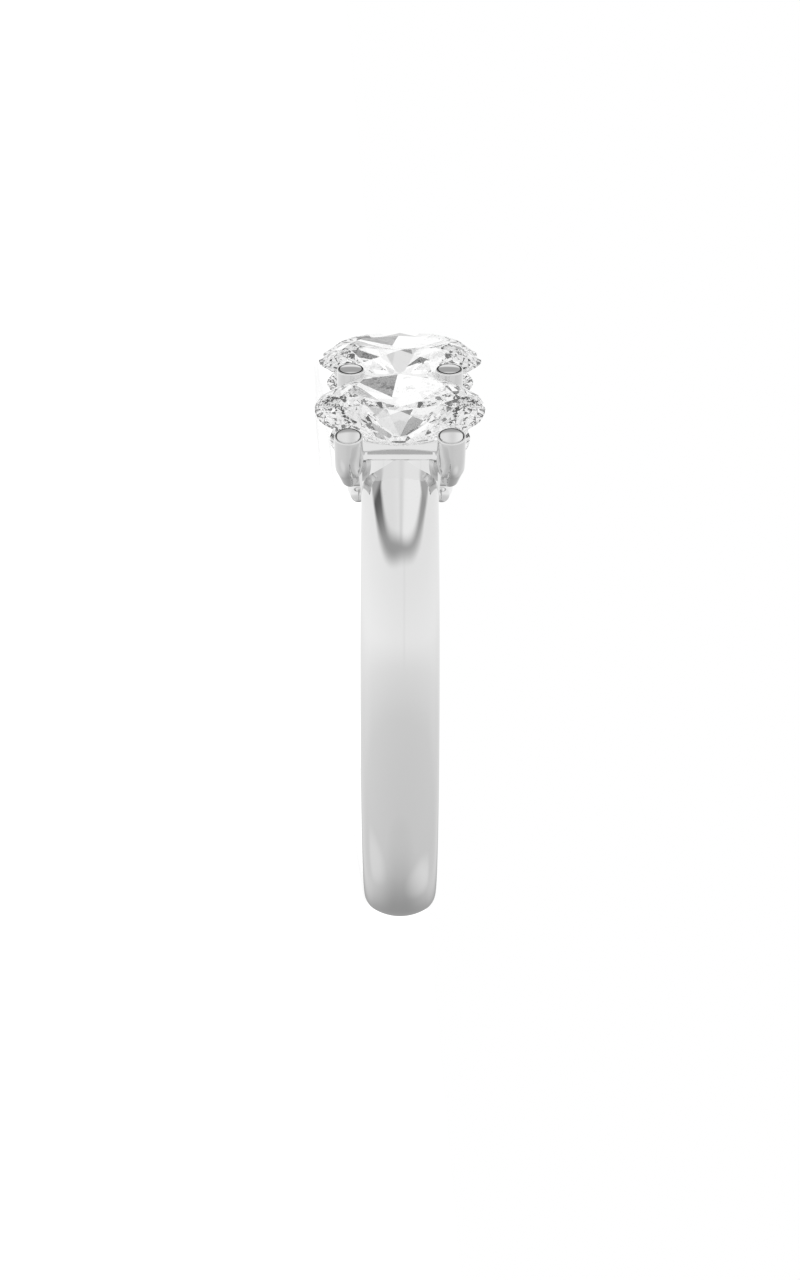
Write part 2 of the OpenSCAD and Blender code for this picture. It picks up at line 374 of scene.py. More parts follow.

# %% [markdown]
# A prong is a wire with a ball for a foot and a nearly flat tip, where a cutter has left
# a fine groove around the polished middle. The wire may also start thinner at its foot
# and grow to its full width on the way up. The groove's outer wall and floor are marked
# for painted shade, and the wall of its middle stays polished.

# %% Prong wire
PRONG_R = 0.5
TIP_EDGE_R = 0.06
TIP_DOME_R = 2.6
GROOVE_W = 0.06
GROOVE_DEPTH = 0.04
FOOT_STEPS = 14
TAPER_STEPS = 12
SHAFT_STEPS = 20
TIP_EDGE_STEPS = 8
TIP_DOME_STEPS = 6
PRONG_STEPS = 72
GROOVE_RUNS = (4, 5)
tip_flat_r = PRONG_R - TIP_EDGE_R
dome_angle = math.asin(tip_flat_r / (TIP_DOME_R - TIP_EDGE_R))


def add_wire(name, length, place, path=upright, foot_r=PRONG_R, taper_h=0.01):
    """A prong from the ball of its foot to its slightly domed tip with a groove."""
    edge_h = length - TIP_DOME_R + (TIP_DOME_R - TIP_EDGE_R) * math.cos(dome_angle)
    dome_start = 90 - math.degrees(dome_angle)
    rim = arc((tip_flat_r, edge_h), TIP_EDGE_R, 0, dome_start, TIP_EDGE_STEPS)
    groove_out, rim_h = rim[-1][:2]
    groove_in = groove_out - GROOVE_W
    middle_angle = math.degrees(math.acos(groove_in / TIP_DOME_R))
    middle = arc((0, length - TIP_DOME_R), TIP_DOME_R, middle_angle, 90, TIP_DOME_STEPS)
    floor_h = rim_h - GROOVE_DEPTH
    slope = (PRONG_R - foot_r) / taper_h
    taper, shaft = [], []
    for i in range(TAPER_STEPS + 1):
        taper.append((foot_r + (PRONG_R - foot_r) * i / TAPER_STEPS, taper_h * i / TAPER_STEPS, 1, -slope))
    for i in range(SHAFT_STEPS + 1):
        shaft.append((PRONG_R, taper_h + (edge_h - taper_h) * i / SHAFT_STEPS, 1, 0))
    runs = [
        arc((0, 0), foot_r, -90, 0, FOOT_STEPS),
        taper,
        shaft,
        rim,
        [(groove_out, rim_h, -1, 0), (groove_out, floor_h, -1, 0)],
        [(groove_out, floor_h, 0, 1), (groove_in, floor_h, 0, 1)],
        [(groove_in, floor_h, 1, 0), (groove_in, middle[0][1], 1, 0)],
        middle,
    ]
    return lathe(name, runs, PRONG_STEPS, place, path, GROOVE_RUNS)


print("A prong's tip drops", round(TIP_DOME_R * (1 - math.cos(dome_angle)), 3), "mm to its edge")

# %% [markdown]
# Twelve round prongs hold the stones. Eight straight ones stand between two stones each
# and are shared by them. They stand beside the band, so a short level run carries each
# foot sideways into it. One prong is described once, and a mirrored matrix makes its
# twin on the other side.

# %% Shared prongs
STONE_COUNT = 5
STONE_STEP = 20.4
GIRDLE_ARC_R = 11.35
PRONG_X = 1.77
PRONG_RISE = 0.47
FOOT_ARC_R = 9.3
FOOT_RUN_OVERLAP = 0.5
FOOT_RUN_SHARE = 0.94
foot_run_l = PRONG_X - (HALF_W - FOOT_RUN_OVERLAP)
prong_l = GIRDLE_ARC_R + PRONG_RISE - FOOT_ARC_R


def around(angle):
    """Turns about the finger's axis, from the top of the ring towards the camera."""
    return Matrix.Rotation(math.radians(angle), 4, "X")


def row_angle(number):
    """The angle of a stone, counted from the camera. A half number is a gap."""
    return ((STONE_COUNT + 1) / 2 - number) * STONE_STEP


def add_foot_run(name, foot_r, place):
    run_r = FOOT_RUN_SHARE * foot_r
    runs = [
        [(0, 0, 0, -1), (run_r, 0, 0, -1)],
        [(run_r, 0, 1, 0), (run_r, foot_run_l, 1, 0)],
        [(run_r, foot_run_l, 0, 1), (0, foot_run_l, 0, 1)],
    ]
    return lathe(name, runs, PRONG_STEPS, place @ Matrix.Rotation(-math.pi / 2, 4, "Y"))


mirrors = {"left": Matrix.Scale(-1, 4, (1, 0, 0)), "right": Matrix()}
for side, mirror in mirrors.items():
    for gap in range(1, STONE_COUNT):
        foot = mirror @ around(row_angle(gap + 0.5)) @ Matrix.Translation((PRONG_X, 0, FOOT_ARC_R))
        add_wire(f"prong_{side}_{gap}", prong_l, foot)
        add_foot_run(f"foot_{side}_{gap}", PRONG_R, foot)
print("The shared prongs are", round(prong_l, 2), "mm long")

# %% [markdown]
# Four prongs hold the ends of the row. Each starts thin beside the block, leans out, and
# bends up beside the end stone. Its foot and its cap are two fixed points, and the lean
# and the bend follow from them. The bend is made while the wire is turned: each ring of
# points is carried to its place on the bent path.

# %% End prongs
END_PRONG_RISE = 0.39
END_PRONG_REACH = 2.08
END_CAP_H = 1.1
END_FOOT_ARC_R = 9.2
END_FOOT_ANGLE = 47.5
END_FOOT_R = 0.34
BEND_REACH = 0.5
end_stone_angle = row_angle(1)
foot_angle = math.radians(END_FOOT_ANGLE)
cap_angle = math.radians(end_stone_angle)
foot_point = END_FOOT_ARC_R * Vector((math.sin(foot_angle), math.cos(foot_angle)))
cap_foot_r = GIRDLE_ARC_R + END_PRONG_RISE - END_CAP_H
cap_point = Vector((
    cap_foot_r * math.sin(cap_angle) + END_PRONG_REACH * math.cos(cap_angle),
    cap_foot_r * math.cos(cap_angle) - END_PRONG_REACH * math.sin(cap_angle)))
lean = cap_point - foot_point
lean_angle = math.degrees(math.atan2(lean.x, lean.y))
turn_back = math.radians(end_stone_angle - lean_angle)
bend_r = BEND_REACH / math.tan(abs(turn_back) / 2)
bend_start = lean.length - BEND_REACH
bend_l = bend_r * abs(turn_back)
end_length = bend_start + bend_l + END_CAP_H - BEND_REACH


def end_path(height):
    """The end prong's path: straight, then an even bend, then straight again."""
    bent = min(max(height - bend_start, 0), bend_l)
    here = upright(min(height, bend_start))
    hinge = Matrix.Translation((0, math.copysign(bend_r, -turn_back), 0))
    swing = Matrix.Rotation(turn_back * bent / bend_l, 4, "X")
    rest = upright(max(height - bend_start - bend_l, 0))
    return here @ hinge @ swing @ hinge.inverted() @ rest


end_mirrors = {"near": Matrix(), "far": Matrix.Scale(-1, 4, (0, 1, 0))}
for side, mirror in mirrors.items():
    for end, end_mirror in end_mirrors.items():
        foot = mirror @ end_mirror @ Matrix.Translation((PRONG_X, -foot_point.x, foot_point.y))
        add_wire(f"end_prong_{side}_{end}", end_length, foot @ around(lean_angle), end_path,
                 END_FOOT_R, bend_start)
        add_foot_run(f"end_foot_{side}_{end}", END_FOOT_R, foot @ around(END_FOOT_ANGLE))
print("The end prongs lean", round(lean_angle, 1), "degrees and bend up to",
      round(end_stone_angle, 1), "degrees")

# %% [markdown]
# Above each end of the block runs a straight rail from prong to prong. It carries the
# end stone, and it has a shallow arch below. It is made of cross sections, one after
# the other along the finger, and each stands on the arch's own height. Its lower front
# edge is rounded a little, because sharp edges are never left on a ring.

# %% End rails
RAIL_Z = 7.03
RAIL_H = 0.42
RAIL_T = 0.45
RAIL_HALF_L = 1.5
RAIL_ARCH_H = 0.07
RAIL_ARCH_SHARE = 0.75
RAIL_EDGE_R = 0.04
RAIL_SECTIONS = 61
rail_arch_half_l = RAIL_HALF_L * RAIL_ARCH_SHARE
rail_arch_r = (rail_arch_half_l**2 + RAIL_ARCH_H**2) / (2 * RAIL_ARCH_H)
rail_top_z = RAIL_Z + RAIL_H


def rail_floor(x):
    """Height of the rail's underside, which rises in the middle."""
    if abs(x) >= rail_arch_half_l:
        return RAIL_Z
    return RAIL_Z + RAIL_ARCH_H - rail_arch_r + math.sqrt(rail_arch_r**2 - x * x)


def add_rail(name, place):
    places = [RAIL_HALF_L * (2 * i / (RAIL_SECTIONS - 1) - 1) for i in range(RAIL_SECTIONS)]
    front, back = -BLOCK_END_Y, RAIL_T - BLOCK_END_Y
    bend = arc((0, 0), RAIL_EDGE_R, 180, 270, EDGE_STEPS)
    points, arrows = [], []
    for x in places:
        low = rail_floor(x)
        loop = [((back, rail_top_z), (0, 1)), ((front, rail_top_z), (-1, 0))]
        for y, z, out_y, out_z in bend:
            loop.append(((front + RAIL_EDGE_R + y, low + RAIL_EDGE_R + z), (out_y, out_z)))
        loop.append(((back, low), (0, -1)))
        points += [(x, *p) for p, _ in loop]
        arrows.append([Vector((0, *a)) for _, a in loop])
    side_count = len(arrows[0])
    faces, directions = [], []
    for i in range(RAIL_SECTIONS - 1):
        for j in range(side_count):
            k = (j + 1) % side_count
            faces.append([i * side_count + j, i * side_count + k,
                          (i + 1) * side_count + k, (i + 1) * side_count + j])
            a, b = arrows[i][j], arrows[i][k]
            if j == side_count - 1:
                a = b = Vector((0, 1, 0))
            elif j == 0:
                a = b = Vector((0, 0, 1))
            elif j == side_count - 2:
                b = a
            directions.append([a, b, b, a])
    for end, out in ((0, -1), (RAIL_SECTIONS - 1, 1)):
        faces.append([end * side_count + j for j in range(side_count)])
        directions.append([Vector((out, 0, 0))] * side_count)
    return make_part(name, points, faces, directions, place)


rails = [add_rail(f"rail_{end}", end_mirror) for end, end_mirror in end_mirrors.items()]
print("Added", len(rails), "rails, each", 2 * RAIL_HALF_L, "mm long")

# %% [markdown]
# An oval stone starts as an oval blank, and its flats are ground one after the other.
# That is how the cutter works, and it makes the shape right by itself: the thin waist
# of the stone keeps its smooth oval outline, with the small waves that real facets
# leave along it. Each flat is a plane through three points. They are laid out as on a
# round stone of eight folds, which is then drawn out to the oval.

# %% The flats of a stone
STONE_L = 6.0
STONE_W = 3.9
GIRDLE_T = 0.1
CROWN_H = 0.65
PAVILION_D = 1.69
TABLE_LENGTH_SHARE = 0.61
TABLE_WIDTH_SHARE = 0.57
STAR_SHARE = 0.38
LOWER_HALF_SHARE = 0.75
FOLD = 8
table_z = GIRDLE_T / 2 + CROWN_H
star_z = table_z - STAR_SHARE * CROWN_H


def oval(radius, turn_share, z):
    """A point at this share of a turn, on the round stone drawn out to the oval."""
    angle = 2 * math.pi * turn_share
    return Vector((radius * math.cos(angle) * STONE_L / STONE_W, radius * math.sin(angle), z))


def table_corner(turn_share):
    angle = 2 * math.pi * turn_share
    return Vector((TABLE_LENGTH_SHARE * STONE_L / 2 * math.cos(angle),
                   TABLE_WIDTH_SHARE * STONE_W / 2 * math.sin(angle), table_z))


def crown_plane(turn_share):
    """A main crown facet: it touches the girdle's outline and a corner of the table."""
    touch = oval(STONE_W / 2, turn_share, GIRDLE_T / 2)
    along = oval(STONE_W / 2, turn_share + 0.25, GIRDLE_T / 2) - Vector((0, 0, GIRDLE_T / 2))
    return touch, touch + along, table_corner(turn_share)


def star_corner(turn_share):
    """Where two neighbouring main facets meet at the height of the star facets' tips."""
    a, b = [crown_plane(turn_share + side * 0.5 / FOLD) for side in (-1, 1)]
    a_out, b_out = [(p[1] - p[0]).cross(p[2] - p[0]) for p in (a, b)]
    start, along = intersect_plane_plane(a[0], a_out, b[0], b_out)
    return start + along * (star_z - start.z) / along.z


def facet_planes():
    """Each flat as three points, from the table's corners down to the point."""
    girdle = STONE_W / 2
    top, low = GIRDLE_T / 2, -GIRDLE_T / 2
    culet = Vector((0, 0, low - PAVILION_D))
    lower = girdle * (1 - LOWER_HALF_SHARE)
    lower_z = culet.z + PAVILION_D * lower * math.cos(math.pi / FOLD) / girdle
    planes = []
    for i in range(FOLD):
        here, half, after = i / FOLD, (i + 0.5) / FOLD, (i + 1) / FOLD
        star_point = star_corner(half)
        lower_point = oval(lower, half, lower_z)
        planes += [
            crown_plane(here),
            (culet, oval(girdle, here, low), lower_point),
            (star_point, oval(girdle, here, top), oval(girdle, half, top)),
            (star_point, oval(girdle, half, top), oval(girdle, after, top)),
            (lower_point, oval(girdle, here, low), oval(girdle, half, low)),
            (lower_point, oval(girdle, half, low), oval(girdle, after, low)),
            (table_corner(here), table_corner(after), star_point),
        ]
    planes.append((table_corner(0), table_corner(0.3), table_corner(0.6)))
    return planes


print("A stone has", len(facet_planes()), "flats and its girdle")

# %% [markdown]
# Grinding is a bisect: it cuts all of the blank that lies outside a plane away, and the
# open rim is then closed with one flat face. At the end, points that fell on each other
# are joined, and faces that lie in one plane become one.

# %% Cut one stone
BLANK_STEPS = 96
BLANK_SPARE = 1
CUT_DISTANCE = 1e-5
MERGE_DISTANCE = 1e-4
FLAT_ANGLE = math.radians(0.05)


def cut_stone():
    blank = bmesh.new()
    bmesh.ops.create_cone(blank, cap_ends=True, segments=BLANK_STEPS, radius1=1, radius2=1,
                          depth=2 * (PAVILION_D + BLANK_SPARE))
    for corner in blank.verts:
        turn_share = math.atan2(corner.co.y, corner.co.x) / (2 * math.pi)
        corner.co = oval(STONE_W / 2, turn_share, corner.co.z)
    for a, b, c in facet_planes():
        outward = (b - a).cross(c - a).normalized()
        if outward.dot(a) < 0:
            outward = -outward
        everything = blank.verts[:] + blank.edges[:] + blank.faces[:]
        bmesh.ops.bisect_plane(blank, geom=everything, dist=CUT_DISTANCE, plane_co=a,
                               plane_no=outward, clear_outer=True)
        rim = [e for e in blank.edges if e.is_boundary]
        if rim:
            bmesh.ops.contextual_create(blank, geom=rim)
    bmesh.ops.remove_doubles(blank, verts=blank.verts, dist=MERGE_DISTANCE)
    bmesh.ops.dissolve_limit(blank, angle_limit=FLAT_ANGLE, verts=blank.verts, edges=blank.edges)
    bmesh.ops.recalc_face_normals(blank, faces=blank.faces)
    return blank


blank = cut_stone()
print("A cut stone has", len(blank.faces), "faces and",
      round(blank.calc_volume(), 2), "cubic millimetres;",
      "open edges:", sum(not e.is_manifold for e in blank.edges))

# %% [markdown]
# Casting and solder make one body of all the metal parts, so they are united, and each
# stone then presses its own seat into that body. The seat is the stone itself, a hair
# larger. Two Boolean modifiers do both jobs. The seats bring their polish directions
# too, so that the attribute is there on every face of the result.

# %% Solder the mount and cut the seats
SEAT_SCALE = 1.025


def stone_place(index, size=1.0):
    """Where a stone sits in the row, counted from the camera."""
    return around(row_angle(index)) @ upright(GIRDLE_ARC_R) @ Matrix.Scale(size, 4)


seats = bpy.data.collections.new("seats")
scene.collection.children.link(seats)
for index in range(1, STONE_COUNT + 1):
    seat_mesh = bpy.data.meshes.new(f"seat_{index}")
    blank.to_mesh(seat_mesh)
    seat_mesh.transform(stone_place(index, SEAT_SCALE))
    polish = seat_mesh.attributes.new("polish", "FLOAT_VECTOR", "CORNER")
    flat = [x for face in seat_mesh.polygons for _ in face.vertices for x in face.normal]
    polish.data.foreach_set("vector", flat)
    seats.objects.link(bpy.data.objects.new(f"seat_{index}", seat_mesh))

parts.objects.unlink(band)
scene.collection.objects.link(band)
for name, operation, tools in (("solder", "UNION", parts), ("seats", "DIFFERENCE", seats)):
    step = band.modifiers.new(name, "BOOLEAN")
    step.operation = operation
    step.operand_type = "COLLECTION"
    step.collection = tools
    step.solver = "MANIFOLD"
soldered = band.evaluated_get(bpy.context.evaluated_depsgraph_get())
mount_mesh = bpy.data.meshes.new_from_object(soldered)
mount_mesh.name = "mount"
for tool in list(parts.objects) + list(seats.objects) + [band]:
    bpy.data.objects.remove(tool)
bpy.data.collections.remove(parts)
bpy.data.collections.remove(seats)

mount_mesh.transform(ring_space)
whole = bmesh.new()
whole.from_mesh(mount_mesh)
print("The mount has", len(whole.faces), "faces and",
      round(whole.calc_volume() / MM**3, 1), "cubic millimetres;",
      "open edges:", sum(not e.is_manifold for e in whole.edges))
whole.free()

# %% [markdown]
# Now the stored directions become the normals. They are turned like the ring, and the
# walls of the seats, which came from the outside of a stone, are turned around to face
# out of the metal.

# %% The mount's normals
directions = [turn @ p.vector for p in mount_mesh.attributes["polish"].data]
# Faces marked in the grooves get the painted shade material later.
dark = [p.value > 0.5 for p in mount_mesh.attributes["groove_shade"].data]
grooves = [face.index for face in mount_mesh.polygons if dark[face.loop_start]]
for face in mount_mesh.polygons:
    face.use_smooth = True
    for corner in face.loop_indices:
        if directions[corner].dot(face.normal) < 0:
            directions[corner] = -directions[corner]
mount_mesh.attributes.remove(mount_mesh.attributes["polish"])
mount_mesh.attributes.remove(mount_mesh.attributes["groove_shade"])
mount_mesh.normals_split_custom_set(directions)
mount = bpy.data.objects.new("white_gold_mount", mount_mesh)
scene.collection.objects.link(mount)
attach(mount, "root")
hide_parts("ring_mount")
print("The mount has", len(directions), "corner normals")

# %% [markdown]
# All five stones are cut alike, so each one is a copy of the same blank, carried to its
# own place on the arc. The narrow band around a stone's waist is the girdle. Cutters
# grind it but often leave it unpolished, so its faces get a second, frosted material.

# %% Set the five stones
GIRDLE_SLOPE = 0.1
stones = []
for index in range(1, STONE_COUNT + 1):
    stone_mesh = bpy.data.meshes.new(f"oval_stone_{index}")
    blank.to_mesh(stone_mesh)
    for face in stone_mesh.polygons:
        face.material_index = 1 if abs(face.normal.z) < GIRDLE_SLOPE else 0
    stone_mesh.transform(ring_space @ stone_place(index))
    stone = bpy.data.objects.new(f"oval_stone_{index}", stone_mesh)
    scene.collection.objects.link(stone)
    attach(stone, "root")
    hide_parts(f"stone_{index}")
    stones.append(stone)
blank.free()
girdle_faces = sum(face.material_index for face in stones[0].data.polygons)
print("Set", len(stones), "stones; the first has", girdle_faces, "girdle faces")

# %% [markdown]
# The next cells make materials and light from nodes. A node is a small step, such as a
# sum or a noise pattern, and its result is fed into the next one. These short helpers
# keep those cells readable.

# %% Helpers for nodes
def add(tree, kind, **settings):
    node = tree.nodes.new(kind)
    for key, value in settings.items():
        setattr(node, key, value)
    return node


def feed(socket, value):
    """Joins a socket to another node's output, or gives it a value."""
    if isinstance(value, bpy.types.NodeSocket):
        socket.id_data.links.new(value, socket)
    else:
        socket.default_value = value


def maths(tree, operation, *values):
    node = add(tree, "ShaderNodeMath", operation=operation)
    for socket, value in zip(node.inputs, values):
        feed(socket, value)
    return node.outputs[0]


def fade(tree, value, start, stop, low=0.0, high=1.0):
    """Goes softly from low to high while the value goes from start to stop."""
    node = add(tree, "ShaderNodeMapRange", interpolation_type="SMOOTHSTEP")
    for socket, given in zip(node.inputs, (value, start, stop, low, high)):
        feed(socket, given)
    return node.outputs[0]


def mix_shaders(tree, share, a, b):
    node = add(tree, "ShaderNodeMixShader")
    for socket, given in zip(node.inputs, (share, a, b)):
        feed(socket, given)
    return node.outputs[0]


def noise(tree, place, scale, detail):
    """A cloudy pattern from 0 to 1. A larger scale makes smaller clouds."""
    node = add(tree, "ShaderNodeTexNoise")
    feed(node.inputs["Vector"], place)
    node.inputs["Scale"].default_value = scale
    node.inputs["Detail"].default_value = detail
    return node.outputs[0]


def emboss(tree, shader, relief, depth):
    """Tilts the shading as if the relief were this deep, in metres."""
    bump = add(tree, "ShaderNodeBump")
    bump.inputs["Strength"].default_value = 1
    bump.inputs["Distance"].default_value = depth
    feed(bump.inputs["Height"], relief)
    feed(shader.inputs["Normal"], bump.outputs[0])


def node_material(name):
    """A material with its nodes, its shader and the place on the part that it shades."""
    material = bpy.data.materials.new(name)
    material.use_nodes = True
    tree = material.node_tree
    place = add(tree, "ShaderNodeTexCoord").outputs["Object"]
    return material, tree, tree.nodes["Principled BSDF"], place


# %% [markdown]
# The photo shows no mirror image of the end prongs' shafts in the band. So rays that
# come from another mirror pass through these shafts, and the camera still sees them.
# The shafts are all that lies beyond three distances from the middle of the hole: to
# the side, along the row and up.

# %% Leave the shafts out of mirror images
SHAFT_LIMITS = ((finger_axis, 1.2), (row_axis, 8.33), (head_axis, 5.95))
SHAFT_SOFTNESS = 0.02


def leave_out_shafts(tree, shader, place):
    from_hole = add(tree, "ShaderNodeVectorMath", operation="SUBTRACT")
    feed(from_hole.inputs[0], place)
    from_hole.inputs[1].default_value = hole["pos_m"]
    share = add(tree, "ShaderNodeLightPath").outputs["Is Glossy Ray"]
    for axis, limit in SHAFT_LIMITS:
        distance = add(tree, "ShaderNodeVectorMath", operation="DOT_PRODUCT")
        feed(distance.inputs[0], from_hole.outputs[0])
        distance.inputs[1].default_value = axis / MM
        reach = maths(tree, "ABSOLUTE", distance.outputs["Value"])
        past_limit = fade(tree, reach, limit - SHAFT_SOFTNESS, limit + SHAFT_SOFTNESS)
        share = maths(tree, "MULTIPLY", share, past_limit)
    clear = add(tree, "ShaderNodeBsdfTransparent").outputs[0]
    looks = mix_shaders(tree, share, shader.outputs[0], clear)
    feed(tree.nodes["Material Output"].inputs["Surface"], looks)


print("Left out past", [limit for _, limit in SHAFT_LIMITS], "mm")

# %% [markdown]
# White gold is a pale grey metal, here with a mirror polish. A hand polish is never
# quite even: the surface rolls a little over a millimetre or two, the buffing wheel
# leaves hair lines along the band, and some spots are a touch duller. So a soft noise
# and a fine, stretched one feed a very shallow bump, and a third varies the roughness.

# %% White gold
HAIR_LINE_SHARE = 0.02
POLISH_DEPTH = 0.000006
gold, tree, shader, on_part = node_material("polished_white_gold")
shader.inputs["Metallic"].default_value = 1
shader.inputs["Base Color"].default_value = (0.78, 0.78, 0.78, 1)
stretch = add(tree, "ShaderNodeMapping")
feed(stretch.inputs["Vector"], on_part)
stretch.inputs["Scale"].default_value = (900, 900, 14000)
hair_lines = noise(tree, stretch.outputs[0], 1, 3)
rolls = noise(tree, on_part, 420, 1)
emboss(tree, shader, maths(tree, "MULTIPLY_ADD", hair_lines, HAIR_LINE_SHARE, rolls), POLISH_DEPTH)
dull_spots = noise(tree, on_part, 1600, 4)
feed(shader.inputs["Roughness"], fade(tree, dull_spots, 0.35, 0.75, 0.035, 0.075))
leave_out_shafts(tree, shader, on_part)
mount_mesh.materials.clear()
mount_mesh.materials.append(gold)
print("White gold has", len(tree.nodes), "nodes")

# %% [markdown]
# In the grooves around the prong tips the metal has stayed as the cutter left it. It is
# dull there, and its colour is painted dark and patchy as shade in the groove. One fine
# noise gives the patches, and both the colour and the roughness follow it.

# %% Groove gold with painted shade
groove_shade_gold, tree, shader, on_part = node_material("groove_shade_gold")
shader.inputs["Metallic"].default_value = 1
shade_patches = noise(tree, on_part, 9000, 2)
# Painted shade: the groove's colour is a dark grey, made patchy by the noise.
shade = add(tree, "ShaderNodeCombineColor")
for socket in shade.inputs[:3]:
    feed(socket, fade(tree, shade_patches, 0.3, 0.7, 0.05, 0.2))
feed(shader.inputs["Base Color"], shade.outputs[0])
feed(shader.inputs["Roughness"], fade(tree, shade_patches, 0.3, 0.7, 0.35, 0.6))
leave_out_shafts(tree, shader, on_part)
mount_mesh.materials.append(groove_shade_gold)
# The groove faces get this material with painted shade.
for index in grooves:
    mount_mesh.polygons[index].material_index = 1
print("The grooves have", len(grooves), "tarnished faces")

# %% [markdown]
# A diamond bends light strongly, so light that goes in is thrown from facet to facet.
# The photo's stones show only the studio through their facets, never the metal or the
# next stone, and the metal hardly shows the stones. So in a mirror image in the metal a
# stone is only a faint veil, partly clear and partly a painted glow that stands in for
# its reflection; a ray that has left one stone doesn't enter the next, and light that
# has passed through a stone doesn't see the mount. How often a ray has gone through a
# surface before tells these cases apart.

# %% Diamond
DIAMOND_INDEX = 2.417
WHEEL_MARK_DEPTH = 0.0000002
VEIL_SHARE = 0.25
VEIL_GLOW_STRENGTH = 0.88


def stone_material(name, roughness, tint):
    material, tree, shader, on_part = node_material(name)
    shader.inputs["Base Color"].default_value = tint
    shader.inputs["IOR"].default_value = DIAMOND_INDEX
    shader.inputs["Transmission Weight"].default_value = 1
    wheel_marks = noise(tree, on_part, 2500, 3)
    feed(shader.inputs["Roughness"], fade(tree, wheel_marks, 0.3, 0.8, *roughness))
    emboss(tree, shader, wheel_marks, WHEEL_MARK_DEPTH)
    path = add(tree, "ShaderNodeLightPath").outputs
    passed = path["Transmission Depth"]
    in_mirror = maths(tree, "MULTIPLY", path["Is Glossy Ray"], maths(tree, "LESS_THAN", passed, 0.5))
    in_next_stone = maths(tree, "GREATER_THAN", passed, 1.5)
    skipped = maths(tree, "MAXIMUM", in_next_stone, path["Is Shadow Ray"])
    clear = add(tree, "ShaderNodeBsdfTransparent").outputs[0]
    # Painted reflection: a faint glow stands in for the stone's mirror image in the metal.
    glow = add(tree, "ShaderNodeEmission")
    glow.inputs["Strength"].default_value = VEIL_GLOW_STRENGTH
    veil = mix_shaders(tree, VEIL_SHARE, clear, glow.outputs[0])
    looks = mix_shaders(tree, in_mirror, shader.outputs[0], veil)
    looks = mix_shaders(tree, skipped, looks, clear)
    feed(tree.nodes["Material Output"].inputs["Surface"], looks)
    return material


diamond = stone_material("clear_diamond", (0, 0.004), (1, 1, 1, 1))
girdle_finish = stone_material("frosted_girdle", (0.12, 0.3), (0.97, 0.97, 0.97, 1))
for stone in stones:
    stone.data.materials.clear()
    stone.data.materials.append(diamond)
    stone.data.materials.append(girdle_finish)
mount.visible_transmission = False
print("Diamond bends light with an index of", DIAMOND_INDEX)

# %% [markdown]
# A photographer puts a ring like this in a white tent. The tent is a world made of
# nodes: each direction, measured along the ring's own axes, gets a brightness. These
# directions turn with the ring, so the ring is lit as if it still stood upright.

# %% Directions in the tent
world = bpy.data.worlds.new("studio")
scene.world = world
world.use_nodes = True
tree = world.node_tree
tree.nodes.clear()
direction = add(tree, "ShaderNodeTexCoord").outputs["Generated"]


def facing(arrow):
    """How closely the direction agrees with an arrow in the ring's own space."""
    node = add(tree, "ShaderNodeVectorMath", operation="DOT_PRODUCT")
    feed(node.inputs[0], direction)
    node.inputs[1].default_value = turn @ Vector(arrow)
    return node.outputs["Value"]


def blend_values(share, a, b):
    node = add(tree, "ShaderNodeMix", data_type="FLOAT")
    for number, given in ((0, share), (2, a), (3, b)):
        feed(node.inputs[number], given)
    return node.outputs[0]


def product(first, *others):
    for other in others:
        first = maths(tree, "MULTIPLY", first, other)
    return first


def distance_from(value, middle):
    return maths(tree, "ABSOLUTE", maths(tree, "SUBTRACT", value, middle))


to_right, to_back, to_up = facing((1, 0, 0)), facing((0, 1, 0)), facing((0, 0, 1))
print("Up in the tent is", [round(x, 2) for x in turn @ Vector((0, 0, 1))], "on the table")

# %% [markdown]
# The walls grow darker towards the floor, which models the tent's own shade, and they
# are shaded most low behind the ring. Above, a seam of the cloth is a faint darker
# line. Two soft reflectors stand low behind the ring, one on each side, and brighten
# what mirrors them.

# %% Walls of the tent
WALL_STOPS = [(0, 0.58), (0.03, 0.63), (0.26, 0.65), (0.34, 0.7), (0.44, 0.76), (0.5, 0.84),
              (0.55, 0.88), (0.75, 0.82), (1, 0.85)]
CORNER_SHADE = 0.55
SIDE_SHADE_SHARE = 0.12
WALL_SEAM_X = 0.15
WALL_SEAM_HALF_W = 0.07
WALL_SEAM_VALUE = 0.95
REFLECTORS = [((-0.5, 0.38, -0.78), 1.14), ((0.33, 0.5, -0.8), 1.2)]
REFLECTOR_EDGE = 0.955

walls = add(tree, "ShaderNodeValToRGB")
ramp = walls.color_ramp
ramp.interpolation = "B_SPLINE"
for element, (position, value) in zip(ramp.elements, (WALL_STOPS[0], WALL_STOPS[-1])):
    element.position = position
    element.color = (value, value, value, 1)
for position, value in WALL_STOPS[1:-1]:
    ramp.elements.new(position).color = (value, value, value, 1)
feed(walls.inputs[0], maths(tree, "MULTIPLY_ADD", to_up, 0.5, 0.5))

below = fade(tree, to_up, -0.2, 0.05, 1, 0)
behind_shade = fade(tree, to_back, -0.1, 0.9, 0, CORNER_SHADE)
middle_shade = fade(tree, maths(tree, "ABSOLUTE", to_right), 0.05, 0.45, 1, SIDE_SHADE_SHARE)
corner_shade = product(below, behind_shade, middle_shade)
tilt = maths(tree, "MULTIPLY_ADD", to_right, 0.05, -0.03)
tilt = maths(tree, "MULTIPLY_ADD", tilt, to_right, 1)
wall_seam = fade(tree, distance_from(to_right, WALL_SEAM_X), 0, WALL_SEAM_HALF_W, WALL_SEAM_VALUE, 1)
wall_seam = blend_values(below, wall_seam, 1)
lit_share = maths(tree, "SUBTRACT", 1, corner_shade)
wall_value = product(walls.outputs[0], tilt, wall_seam, lit_share)
for arrow, gain in REFLECTORS:
    on_reflector = fade(tree, facing(Vector(arrow).normalized()), REFLECTOR_EDGE, 1, 1, gain)
    wall_value = product(wall_value, on_reflector)
print("The walls have", len(WALL_STOPS), "shades and", len(REFLECTORS), "reflectors")

